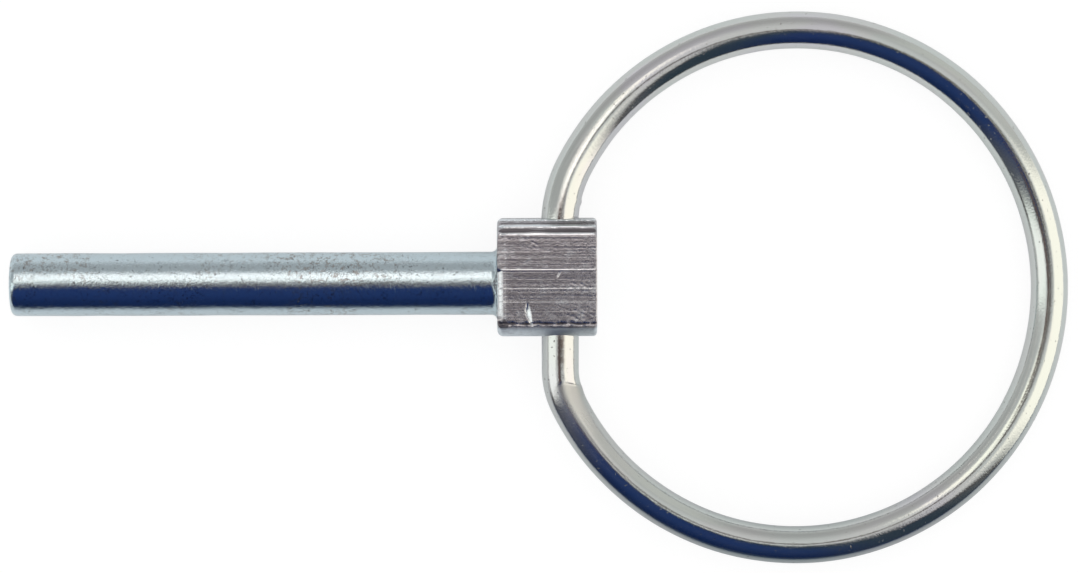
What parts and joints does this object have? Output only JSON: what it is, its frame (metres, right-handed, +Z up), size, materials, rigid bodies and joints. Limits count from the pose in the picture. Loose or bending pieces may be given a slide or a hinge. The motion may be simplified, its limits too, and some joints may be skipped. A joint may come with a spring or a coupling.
{
  "type": "wheel pin",
  "caption": "Headed steel wheel pin with a spring wire ring that swings in the head's cross hole and closes round the shank's end.",
  "frame": {"origin": "on the surface that the part lies on, straight below the point where the shank's axis crosses the ring's hinge line", "axes": "+X along the pin from its tip to its ring, +Y along the head's cross hole, +Z up out of the flat that the head lies on"},
  "size_m": [0.1066, 0.0556, 0.0074],
  "materials": {
    "pin_steel": "zinc plated, fine specks, drawing lines on the sheared flats",
    "spring_wire": "zinc plated, smooth and bright"
  },
  "bodies": {
    "pin": {"pin": "pin_steel"},
    "ring": {"ring": "spring_wire"}
  },
  "joints": [
    {"name": "ring_swing", "type": "hinge", "parent": "pin", "child": "ring", "pos_m": [0, 0, 0.0037], "axis": [0, 1, 0], "range_deg": [-175.8, 171.6]}
  ]
}
